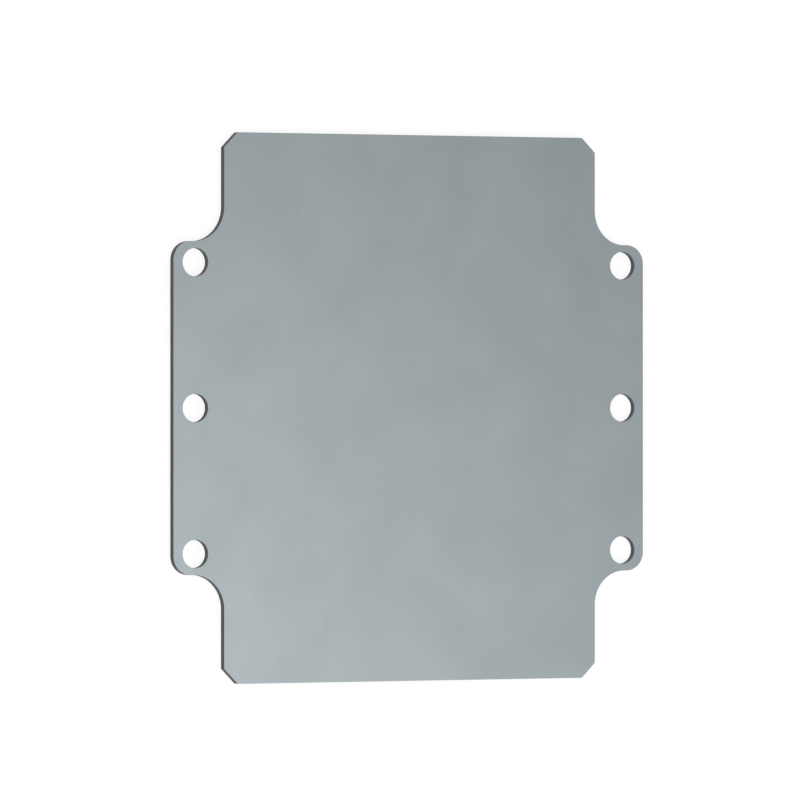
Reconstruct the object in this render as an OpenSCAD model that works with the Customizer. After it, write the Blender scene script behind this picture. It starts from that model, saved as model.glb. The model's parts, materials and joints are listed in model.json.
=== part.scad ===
// Flat sheet-steel mounting plate, cut from one blank.
// The body has its four corners cut off at 45 degrees. An ear on each side carries a column of
// screw holes, and a rounded notch above and below each ear clears what fills the corners of
// the enclosure that the plate goes into.
// The plate lies on its back face, centred on the origin, with its height along Y.

/* [Sheet] */
// Thickness of the sheet
sheet_t = 2; // [1:0.5:4]

/* [Body] */
// Width of the body, between the ears
body_w = 121.6; // [90:0.1:200]
// Height of the body, which is also the plate's height
body_h = 157.3; // [140:0.1:240]
// Leg of the 45 degree cut at each of the body's corners
corner_cut = 4.3; // [1:0.1:8]

/* [Ears] */
// How far each ear stands out past the body
ear_reach = 16.2; // [12:0.1:30]
// Height of each ear
ear_h = 95; // [70:0.5:110]
// Radius of an ear's outer corners
ear_corner_r = 5.4; // [1:0.1:7]
// Radius of a notch's inner corner, where the body runs into an ear
notch_r = 9.85; // [2:0.05:14]

/* [Screw holes] */
// Diameter of a hole
hole_d = 8.1; // [4:0.1:9]
// Number of holes in each ear
holes_per_ear = 3; // [2:1:5]
// Distance from a hole's centre to the ear's side edge
hole_side_margin = 7; // [5.5:0.1:12]
// Distance from an end hole's centre to the ear's top or bottom edge
hole_end_margin = 6; // [5.5:0.1:12]

/* [Hidden] */

// Zinc plating on the sheet
zinc_colour = [0.63, 0.66, 0.67];

// Width of the plate over both ears
plate_w = body_w + 2 * ear_reach;

// Distance between the two columns of holes
hole_span = plate_w - 2 * hole_side_margin;
// Distance between two holes in a column
hole_pitch = (ear_h - 2 * hole_end_margin) / (holes_per_ear - 1);

// Shortest straight edge left beside a rounded notch
least_straight = 0.5;
// Room that a notch's rounding has along the ear's edge and along the body's side
room_on_ear = ear_reach - ear_corner_r - least_straight;
room_on_body = (body_h - ear_h) / 2 - corner_cut - least_straight;
// Radius that a notch's rounding is made with, which its two edges limit
notch_fillet_r = min(notch_r, room_on_ear, room_on_body);

// Facets of a full circle in the preview
$fn = 96;

// Draws its children in all four quarters of the plate, mirrored about X and Y
module each_quarter() {
    for (across = [0, 1], along = [0, 1])
        mirror([across, 0]) mirror([0, along]) children();
}

// What lies outside a quarter circle of radius r in the far corner of a square of side r:
// taken away it rounds an outer corner, and added the other way round it fills an inner one
module spandrel(r) {
    difference() {
        square(r);
        circle(r);
    }
}

module body_outline() {
    difference() {
        square([body_w, body_h], center = true);
        each_quarter()
            translate([body_w / 2, body_h / 2])
                polygon([[0, 0], [-corner_cut, 0], [0, -corner_cut]]);
    }
}

// Both ears, as one band across the plate
module ear_outline() {
    difference() {
        square([plate_w, ear_h], center = true);
        each_quarter()
            translate([plate_w / 2 - ear_corner_r, ear_h / 2 - ear_corner_r])
                spandrel(ear_corner_r);
    }
}

// The rounding in the inner corner of each notch
module notch_fillets() {
    each_quarter()
        translate([body_w / 2 + notch_fillet_r, ear_h / 2 + notch_fillet_r])
            rotate(180) spandrel(notch_fillet_r);
}

// A column of holes in each ear
module screw_holes() {
    for (side = [-1, 1], row = [0 : holes_per_ear - 1])
        translate([side * hole_span / 2, (row - (holes_per_ear - 1) / 2) * hole_pitch])
            circle(d = hole_d);
}

module mounting_plate() {
    color(zinc_colour)
        linear_extrude(height = sheet_t)
            difference() {
                union() {
                    body_outline();
                    ear_outline();
                    notch_fillets();
                }
                screw_holes();
            }
}

mounting_plate();
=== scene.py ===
"""Zinc-plated sheet-steel mounting plate on a white floor, seen at the photograph's angle.

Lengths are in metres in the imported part's own frame: X across the plate, Y along its height and Z out of
its front face. The plate lies on its back, so the camera looks down on it.
"""

import json
import logging
import math
from collections.abc import Sequence
from dataclasses import dataclass
from enum import Enum
from typing import Any

import bmesh
import bpy
from mathutils import Matrix, Vector


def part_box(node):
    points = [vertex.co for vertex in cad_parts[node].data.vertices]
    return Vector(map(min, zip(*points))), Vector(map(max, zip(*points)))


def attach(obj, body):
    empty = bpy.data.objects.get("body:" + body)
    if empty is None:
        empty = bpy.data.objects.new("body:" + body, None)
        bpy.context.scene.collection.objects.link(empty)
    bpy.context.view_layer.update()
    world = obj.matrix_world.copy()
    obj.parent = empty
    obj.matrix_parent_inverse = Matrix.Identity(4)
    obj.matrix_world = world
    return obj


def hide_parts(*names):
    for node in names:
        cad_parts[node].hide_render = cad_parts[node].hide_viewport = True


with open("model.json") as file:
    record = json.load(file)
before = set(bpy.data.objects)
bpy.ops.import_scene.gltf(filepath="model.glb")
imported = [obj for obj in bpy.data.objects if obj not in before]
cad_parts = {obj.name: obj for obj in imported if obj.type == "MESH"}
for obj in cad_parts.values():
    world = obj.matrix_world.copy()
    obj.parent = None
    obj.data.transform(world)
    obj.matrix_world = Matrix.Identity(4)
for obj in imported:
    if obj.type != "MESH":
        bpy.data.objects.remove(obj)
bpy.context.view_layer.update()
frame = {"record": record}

log = logging.getLogger("mounting_plate")

MM = 0.001
CAD_NODE = "mounting_plate"

# A point in the sheet's plane, a range of values, a colour, and three values along X, Y and Z
Point = tuple[float, float]
Span = tuple[float, float]
Colour = tuple[float, float, float]
Triple = tuple[float, float, float]

# The vertices along one closed loop of a mesh
Ring = list[bmesh.types.BMVert]

# The whole range of a grey value
FULL: Span = (0.0, 1.0)

# Sockets of a Mix node that mixes colours
MIX_LOW, MIX_HIGH, MIX_RESULT = 6, 7, 2


class Surface(Enum):
    """Which of the plate's two finishes a face has; the value is its material slot on the mesh."""

    ZINC = 0
    CUT = 1


@dataclass(frozen=True)
class Layer:
    """A layer of noise in a finish.

    per_metre counts its spots along X, Y and Z, detail the octaves of finer noise on them, and share and
    relief are its weights in the finish's tone and in its bump.
    """

    per_metre: Triple
    detail: float
    share: float = 0.0
    relief: float = 0.0


class NodeGraph:
    """A node tree with short calls that add and join its nodes."""

    def __init__(self, tree: bpy.types.NodeTree) -> None:
        """Takes over a tree and clears it.

        Args:
            tree: The node tree of a material or a world.
        """
        self.tree = tree
        self.tree.nodes.clear()

    def add(self, kind: str, inputs: dict[str | int, Any] | None = None, **settings: Any) -> bpy.types.Node:
        """Adds one node.

        Args:
            kind: Blender's name for the node's type.
            inputs: Socket name or index to a plain value, or to the output socket that feeds it.
            **settings: Properties of the node, such as its operation.

        Returns:
            The new node.
        """
        node = self.tree.nodes.new(kind)
        for name, value in settings.items():
            setattr(node, name, value)
        for key, value in (inputs or {}).items():
            if isinstance(value, bpy.types.NodeSocket):
                self.tree.links.new(value, node.inputs[key])
            else:
                node.inputs[key].default_value = value
        return node

    def maths(self, operation: str, *values: bpy.types.NodeSocket | float) -> bpy.types.NodeSocket:
        """Adds a Math node and returns its result.

        Args:
            operation: Blender's name for the operation.
            *values: What it works on, in the order of the node's inputs.

        Returns:
            The result.
        """
        return self.add("ShaderNodeMath", dict(enumerate(values)), operation=operation).outputs[0]

    def noise(self, coordinates: bpy.types.NodeSocket, layer: Layer) -> bpy.types.NodeSocket:
        """Adds one layer of noise.

        Args:
            coordinates: Where the noise is read, in metres.
            layer: How fine it is.

        Returns:
            The noise's grey value, around 0.5.
        """
        scaled = self.add("ShaderNodeVectorMath", {0: coordinates, 1: layer.per_metre}, operation="MULTIPLY")
        inputs = {"Vector": scaled.outputs["Vector"], "Scale": 1.0, "Detail": layer.detail}
        return self.add("ShaderNodeTexNoise", inputs).outputs["Fac"]

    def weigh(self, terms: Sequence[tuple[bpy.types.NodeSocket, float]]) -> bpy.types.NodeSocket:
        """Adds grey values up, so that the sum is 0.5 where every value is 0.5.

        Args:
            terms: Pairs of a grey value and its weight.

        Returns:
            The weighted sum.
        """
        total: bpy.types.NodeSocket | float = (1.0 - sum(weight for _, weight in terms)) / 2
        for value, weight in terms:
            total = self.maths("MULTIPLY_ADD", value, weight, total)
        return total

    def spread(self, value: bpy.types.NodeSocket, source: Span, target: Span) -> bpy.types.NodeSocket:
        """Maps one range of grey values onto another, and clamps it there.

        Args:
            value: The value to map.
            source: The range that it comes in.
            target: The range that it leaves in.

        Returns:
            The mapped value.
        """
        inputs = {0: value, 1: source[0], 2: source[1], 3: target[0], 4: target[1]}
        return self.add("ShaderNodeMapRange", inputs).outputs[0]

    def blend(self, factor: bpy.types.NodeSocket, low: Colour, high: Colour) -> bpy.types.NodeSocket:
        """Mixes two colours.

        Args:
            factor: The share of the second colour.
            low: The colour at a factor of 0.
            high: The colour at a factor of 1.

        Returns:
            The mixed colour.
        """
        inputs = {"Factor": factor, MIX_LOW: (*low, 1.0), MIX_HIGH: (*high, 1.0)}
        return self.add("ShaderNodeMix", inputs, data_type="RGBA").outputs[MIX_RESULT]


def new_material(name: str) -> tuple[bpy.types.Material, NodeGraph]:
    """Makes an empty material that uses nodes.

    Args:
        name: The material's name.

    Returns:
        The material, and its node graph.
    """
    material = bpy.data.materials.new(name)
    material.use_nodes = True
    return material, NodeGraph(material.node_tree)


def tinted(colour: Colour, factor: float) -> Colour:
    """Returns a colour made lighter or darker by a factor."""
    return (colour[0] * factor, colour[1] * factor, colour[2] * factor)


@dataclass(frozen=True)
class ZincFinish:
    """Satin zinc plating over cold-rolled sheet: an even blue-grey with soft clouds and a very fine grain.

    contrast is how far the tone's two ends lie apart, as a share of the colour. patch_range is where the
    patches' grey values mostly lie, and the roughness is spread over it.
    """

    colour: Colour = (0.352, 0.397, 0.413)
    contrast: float = 0.15
    clouds: Layer = Layer((48.0, 48.0, 48.0), detail=1.5, share=1.15)
    patches: Layer = Layer((130.0, 130.0, 130.0), detail=3.0, share=0.2)
    grain: Layer = Layer((3600.0, 3600.0, 3600.0), detail=3.0, share=0.6, relief=0.7)
    streaks: Layer = Layer((3200.0, 60.0, 3200.0), detail=2.0, share=0.45, relief=0.3)
    patch_range: Span = (0.3, 0.7)
    roughness: Span = (0.47, 0.51)
    grain_depth: float = 0.012 * MM

    def material(self) -> bpy.types.Material:
        """Builds the finish as a procedural material.

        Returns:
            The material.
        """
        material, graph = new_material("zinc_plating")
        place = graph.add("ShaderNodeTexCoord").outputs["Object"]
        layers = (self.clouds, self.patches, self.grain, self.streaks)
        greys = {layer: graph.noise(place, layer) for layer in layers}
        tone = graph.weigh([(grey, layer.share) for layer, grey in greys.items()])
        relief = graph.weigh([(grey, layer.relief) for layer, grey in greys.items() if layer.relief])
        dark = tinted(self.colour, 1.0 - self.contrast / 2)
        light = tinted(self.colour, 1.0 + self.contrast / 2)
        bump = graph.add("ShaderNodeBump", {"Distance": self.grain_depth, "Strength": 1.0, "Height": relief})
        shader = graph.add(
            "ShaderNodeBsdfPrincipled",
            {
                "Base Color": graph.blend(tone, dark, light),
                "Metallic": 1.0,
                "Roughness": graph.spread(greys[self.patches], self.patch_range, self.roughness),
                "Normal": bump.outputs["Normal"],
            },
        )
        graph.add("ShaderNodeOutputMaterial", {"Surface": shader.outputs["BSDF"]})
        return material


@dataclass(frozen=True)
class CutFinishPaintedShade:
    """Bare steel where the blank was cut out: a smoother band below the front face, then a rougher fractured
    one.

    The fractured band ends and the smooth one begins between the heights burnish_end and burnish_start over
    the back face. Fine lines across the edge make that border ragged. Both bands' colours are painted shade:
    far darker than bare steel, they stand in for the shade that the cut walls lie in.
    """

    # Painted shade: both colours are near black, far darker than bare steel, and stand in for the shade on
    # the cut walls; the smoother and rougher bands by height are real.
    burnished_painted_shade: Colour = (0.084, 0.093, 0.096)
    burnished_roughness: float = 0.42
    torn_painted_shade: Colour = (0.095, 0.105, 0.108)
    torn_roughness: float = 0.68
    burnish_end: float = 1.25 * MM
    burnish_start: float = 1.5 * MM
    lines: Layer = Layer((4200.0, 4200.0, 260.0), detail=3.0)
    line_depth: float = 0.012 * MM
    ragged: float = 0.3 * MM

    def material(self) -> bpy.types.Material:
        """Builds the finish as a procedural material.

        Returns:
            The material.
        """
        material, graph = new_material("cut_steel_painted_shade")
        place = graph.add("ShaderNodeTexCoord").outputs["Object"]
        height = graph.add("ShaderNodeSeparateXYZ", {0: place}).outputs["Z"]
        lines = graph.noise(place, self.lines)
        level = graph.maths("MULTIPLY_ADD", lines, self.ragged, height)
        band = graph.spread(level, (self.burnish_end, self.burnish_start), FULL)
        bump = graph.add("ShaderNodeBump", {"Distance": self.line_depth, "Strength": 1.0, "Height": lines})
        # The base colour blends the two painted-shade colours by height.
        shader = graph.add(
            "ShaderNodeBsdfPrincipled",
            {
                "Base Color": graph.blend(band, self.torn_painted_shade, self.burnished_painted_shade),
                "Metallic": 1.0,
                "Roughness": graph.spread(band, FULL, (self.torn_roughness, self.burnished_roughness)),
                "Normal": bump.outputs["Normal"],
            },
        )
        graph.add("ShaderNodeOutputMaterial", {"Surface": shader.outputs["BSDF"]})
        return material


def arc(centre: Point, radius: float, start: float, end: float, steps: int) -> list[Point]:
    """Lists the points of an arc.

    Args:
        centre: The arc's centre.
        radius: Its radius.
        start: The angle of its first point, in degrees.
        end: The angle of its last point, in degrees.
        steps: How many straight steps it is made of.

    Returns:
        The points, one more than the steps.
    """
    angles = [math.radians(start + (end - start) * i / steps) for i in range(steps + 1)]
    return [(centre[0] + radius * math.cos(a), centre[1] + radius * math.sin(a)) for a in angles]


@dataclass(frozen=True)
class CutEdge:
    """Section of the edge that cutting leaves all round the plate and in every hole.

    rollover is the radius of the rounding at the front face. The wall runs straight down to burnish_depth,
    then tapers inwards as far as back_break, the broken corner at the back face.
    """

    rollover: float = 0.05 * MM
    rollover_steps: int = 3
    burnish_depth: float = 0.7 * MM
    taper: float = 0.01 * MM
    back_break: float = 0.03 * MM

    def section(self, thickness: float) -> list[Point]:
        """Works out the section from the front face down to the back face.

        Args:
            thickness: The sheet's thickness.

        Returns:
            The section's points, each with its inset from the nominal outline and its height.
        """
        centre = (self.rollover, thickness - self.rollover)
        rounding = arc(centre, self.rollover, 90, 180, self.rollover_steps)
        burnish_end = (0.0, thickness - self.burnish_depth)
        torn_end = (self.taper, self.back_break)
        back = (self.taper + self.back_break, 0.0)
        return [*rounding, burnish_end, torn_end, back]


@dataclass
class MountingPlate:
    """The plate: a body with cut corners, an ear on each side, four rounded notches and the screw holes."""

    low: Vector
    high: Vector
    hole_centres: list[Point]
    hole_radius: float
    body_width: float = 121.6 * MM
    ear_height: float = 95.0 * MM
    corner_cut: float = 4.3 * MM
    ear_corner_radius: float = 5.4 * MM
    notch_radius: float = 9.85 * MM
    corner_steps: int = 20
    hole_steps: int = 96
    crease: float = math.radians(30.0)
    edge: CutEdge = CutEdge()
    name: str = "zinc_plate"

    @classmethod
    def from_frame(cls, record: dict[str, Any]) -> "MountingPlate":
        """Takes the plate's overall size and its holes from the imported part.

        Args:
            record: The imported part's record.

        Returns:
            The plate, not yet built.
        """
        low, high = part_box(CAD_NODE)
        bores = [mount for mount in record["mounts"] if mount["kind"] == "bore"]
        centres = [(mount["pos_m"][0], mount["pos_m"][1]) for mount in bores]
        return cls(low, high, centres, bores[0]["dims"]["r_mm"] * MM)

    def quarter(self) -> list[Point]:
        """Lists the outline's points in the first quarter, from the ear's side round to the top edge.

        Returns:
            The points, anticlockwise.
        """
        side, top = self.high.x, self.high.y
        body, ear = self.body_width / 2, self.ear_height / 2
        rounding, notch = self.ear_corner_radius, self.notch_radius
        ear_corner = arc((side - rounding, ear - rounding), rounding, 0, 90, self.corner_steps)
        notch_corner = arc((body + notch, ear + notch), notch, 270, 180, self.corner_steps)
        return [*ear_corner, *notch_corner, (body, top - self.corner_cut), (body - self.corner_cut, top)]

    def outline(self) -> list[Point]:
        """Mirrors the first quarter into the whole outline.

        Returns:
            The outline's points, anticlockwise.
        """
        first = self.quarter()
        back = first[::-1]
        second = [(-x, y) for x, y in back]
        third = [(-x, -y) for x, y in first]
        fourth = [(x, -y) for x, y in back]
        return [*first, *second, *third, *fourth]

    def holes(self) -> list[list[Point]]:
        """Lists each hole's rim.

        Returns:
            One list of points for each hole, clockwise, so that the metal is on its left as outside.
        """
        return [arc(centre, self.hole_radius, 360, 0, self.hole_steps)[:-1] for centre in self.hole_centres]

    @staticmethod
    def inset(loop: list[Point], distance: float) -> list[Point]:
        """Moves a closed loop into the metal, which lies on its left.

        Args:
            loop: The loop's points.
            distance: How far each of its edges moves.

        Returns:
            The moved points, mitred at the corners.
        """
        moved = []
        for before, here, after in zip(loop[-1:] + loop[:-1], loop, loop[1:] + loop[:1]):
            arriving = (Vector(here) - Vector(before)).normalized()
            leaving = (Vector(after) - Vector(here)).normalized()
            # The sum of both edges' normals, lengthened so that each edge moves by 1
            inwards = Vector((-arriving.y - leaving.y, arriving.x + leaving.x))
            inwards /= 1 + arriving.dot(leaving)
            moved.append((here[0] + inwards.x * distance, here[1] + inwards.y * distance))
        return moved

    def sweep(self, mesh: bmesh.types.BMesh, loop: list[Point], section: list[Point]) -> list[Ring]:
        """Runs the cut edge's section along one loop.

        Args:
            mesh: The mesh that gets the faces.
            loop: The loop that the section follows.
            section: The section's insets and heights, from the front face down.

        Returns:
            The rings of vertices, from the front face to the back face.
        """
        rings = []
        for distance, height in section:
            points = self.inset(loop, distance)
            rings.append([mesh.verts.new((x, y, self.low.z + height)) for x, y in points])
        for upper, lower in zip(rings, rings[1:]):
            # Every band of the section takes the cut steel's near-black colour, the front rounding too, so
            # that the painted shade of the walls reaches over the front face's edge.
            for i, j in zip(range(len(loop)), [*range(1, len(loop)), 0]):
                face = mesh.faces.new((upper[i], lower[i], lower[j], upper[j]))
                face.smooth = True
                face.material_index = Surface.CUT.value
        return rings

    def cap(self, mesh: bmesh.types.BMesh, rings: list[Ring]) -> None:
        """Closes one flat face of the plate, with its holes left open.

        Args:
            mesh: The mesh that gets the faces.
            rings: The rings of vertices that bound the face.
        """
        edges = []
        for ring in rings:
            edges += [mesh.edges.get(pair) for pair in zip(ring, ring[1:] + ring[:1])]
        filled = bmesh.ops.triangle_fill(mesh, edges=edges, use_beauty=True)
        for face in filled["geom"]:
            if isinstance(face, bmesh.types.BMFace):
                face.smooth = False
                face.material_index = Surface.ZINC.value

    def build(self) -> bpy.types.Object:
        """Builds the plate and dresses it in its two finishes.

        Returns:
            The plate's object, riding on the part's body in place of the plain solid.
        """
        mesh = bmesh.new()
        section = self.edge.section(self.high.z - self.low.z)
        swept = [self.sweep(mesh, loop, section) for loop in (self.outline(), *self.holes())]
        for end in (0, -1):
            self.cap(mesh, [rings[end] for rings in swept])
        bmesh.ops.recalc_face_normals(mesh, faces=mesh.faces)
        # Edges stay sharp round the two flat faces and at the outline's corners
        for line in mesh.edges:
            rounded = all(face.smooth for face in line.link_faces)
            line.smooth = rounded and line.calc_face_angle() < self.crease
        data = bpy.data.meshes.new(self.name)
        mesh.to_mesh(data)
        mesh.free()
        data.materials.append(ZincFinish().material())
        data.materials.append(CutFinishPaintedShade().material())
        plate = bpy.data.objects.new(self.name, data)
        bpy.context.scene.collection.objects.link(plate)
        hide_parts(CAD_NODE)
        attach(plate, "root")
        return plate


@dataclass(frozen=True)
class SoftBox:
    """A square studio lamp of a given side, in metres, that is aimed at a point of the plate."""

    name: str
    place: Triple
    side: float
    watts: float
    aim: Triple = (0.0, 0.0, 0.0)

    def build(self) -> bpy.types.Object:
        """Hangs the lamp.

        Returns:
            The lamp's object.
        """
        lamp = bpy.data.lights.new(self.name, "AREA")
        lamp.shape = "SQUARE"
        lamp.size = self.side
        lamp.energy = self.watts
        box = bpy.data.objects.new(self.name, lamp)
        box.location = self.place
        towards = Vector(self.aim) - Vector(self.place)
        box.rotation_euler = towards.to_track_quat("-Z", "Y").to_euler()
        bpy.context.scene.collection.objects.link(box)
        return box


@dataclass(frozen=True)
class Studio:
    """A white floor, a surround that is white at the horizon and greyer overhead, and soft lamps.

    Camera, metal and glass see the floor's shading weakened by the share floor_fade, with a glow of strength
    floor_lift over it, which together make a full white that keeps a soft shadow. The surround's level falls
    from horizon to overhead as the height of a view's direction runs through surround_heights.
    """

    floor_side: float = 8.0
    floor_gap: float = 0.05 * MM
    floor_colour: Colour = (0.8, 0.8, 0.8)
    floor_lift: float = 0.84
    floor_fade: float = 0.75
    horizon: float = 1.0
    overhead: float = 0.6
    surround_heights: Span = (0.1, 0.9)
    lamps: tuple[SoftBox, ...] = (
        SoftBox("key_lamp", place=(0.0, -0.1, 0.3), side=0.3, watts=0.32),
        SoftBox("side_lamp", place=(0.3, -0.3, 0.42), side=0.3, watts=0.22),
    )

    def surround(self) -> None:
        """Sets the world to fade from the horizon's white to the level overhead."""
        world = bpy.data.worlds.new("surround")
        world.use_nodes = True
        graph = NodeGraph(world.node_tree)
        direction = graph.add("ShaderNodeTexCoord").outputs["Generated"]
        height = graph.add("ShaderNodeSeparateXYZ", {0: direction}).outputs["Z"]
        level = graph.spread(height, self.surround_heights, (self.horizon, self.overhead))
        sky = graph.add("ShaderNodeBackground", {"Color": (1.0, 1.0, 1.0, 1.0), "Strength": level})
        graph.add("ShaderNodeOutputWorld", {"Surface": sky.outputs["Background"]})
        bpy.context.scene.world = world

    def floor_material(self) -> bpy.types.Material:
        """Makes the floor's matt white, and the full white that camera, metal and glass see there.

        Returns:
            The material.
        """
        material, graph = new_material("white_floor")
        rays = graph.add("ShaderNodeLightPath").outputs
        seen = rays["Is Camera Ray"]
        for other in ("Is Glossy Ray", "Is Transmission Ray"):
            seen = graph.maths("MAXIMUM", seen, rays[other])
        lift = graph.maths("MULTIPLY", seen, self.floor_lift)
        fade = graph.maths("MULTIPLY", seen, self.floor_fade)
        matt = graph.add("ShaderNodeBsdfDiffuse", {"Color": (*self.floor_colour, 1.0)}).outputs["BSDF"]
        faded = graph.add("ShaderNodeMixShader", {0: fade, 1: matt}).outputs["Shader"]
        glow = graph.add("ShaderNodeEmission", {"Strength": lift}).outputs["Emission"]
        shader = graph.add("ShaderNodeAddShader", {0: faded, 1: glow})
        graph.add("ShaderNodeOutputMaterial", {"Surface": shader.outputs["Shader"]})
        return material

    def floor(self) -> bpy.types.Object:
        """Lays the floor just under the plate.

        Returns:
            The floor's object.
        """
        half, level = self.floor_side / 2, -self.floor_gap
        rim = [(-half, -half, level), (half, -half, level), (half, half, level), (-half, half, level)]
        data = bpy.data.meshes.new("white_floor")
        data.from_pydata(rim, [], [(0, 1, 2, 3)])
        data.materials.append(self.floor_material())
        floor = bpy.data.objects.new("white_floor", data)
        bpy.context.scene.collection.objects.link(floor)
        return floor

    def build(self) -> None:
        """Sets up the surround, the floor and the lamps, and reports them."""
        self.surround()
        log.info("stage: %s", self.floor().name)
        for lamp in self.lamps:
            log.info("lamp: %s", lamp.build().name)


@dataclass(frozen=True)
class PhotoCamera:
    """The camera at the photograph's viewing angle and framing, as a fit to the photograph gave them.

    picture is the side of the photograph and focal the focal length, both in pixels. turn is the camera's
    angle from the plate's normal, about the plate's height, in degrees. centre_right and centre_below are how
    far from the picture's middle the plate's middle shows, in pixels. sensor is in millimetres. near and far
    are the limits of what the camera sees, as shares of its distance.
    """

    picture: float = 800.0
    focal: float = 8616.0
    turn: float = 28.42
    distance: float = 2.484
    centre_right: float = 11.63
    centre_below: float = 7.94
    sensor: float = 36.0
    near: float = 0.01
    far: float = 10.0

    def build(self, face_centre: Vector) -> bpy.types.Object:
        """Places the camera and makes it the scene's own.

        Args:
            face_centre: The middle of the plate's front face.

        Returns:
            The camera's object.
        """
        turn = math.radians(self.turn)
        right = Vector((math.cos(turn), 0.0, math.sin(turn)))
        above = Vector((0.0, 1.0, 0.0))
        back = right.cross(above)
        metres_per_pixel = self.distance / self.focal
        shift = above * self.centre_below - right * self.centre_right
        data = bpy.data.cameras.new("photo_camera")
        data.sensor_width = self.sensor
        data.lens = self.focal * self.sensor / self.picture
        data.clip_start, data.clip_end = self.distance * self.near, self.distance * self.far
        place = face_centre + back * self.distance + shift * metres_per_pixel
        turned = Matrix((right, above, back)).transposed().to_4x4()
        camera = bpy.data.objects.new("photo_camera", data)
        camera.matrix_world = Matrix.Translation(place) @ turned
        bpy.context.scene.collection.objects.link(camera)
        bpy.context.scene.camera = camera
        return camera


def main() -> None:
    """Builds the camera, the studio and the plate, and reports each."""
    logging.basicConfig(level=logging.INFO, format="%(message)s")
    bpy.context.scene.view_settings.view_transform = "Standard"
    plate = MountingPlate.from_frame(frame["record"])
    face_centre = Vector((0.0, 0.0, plate.high.z))
    log.info("camera: %s", PhotoCamera().build(face_centre).name)
    Studio().build()
    built = plate.build()
    log.info("piece: %s, %d faces", built.name, len(built.data.polygons))


if __name__ == "__main__":
    main()
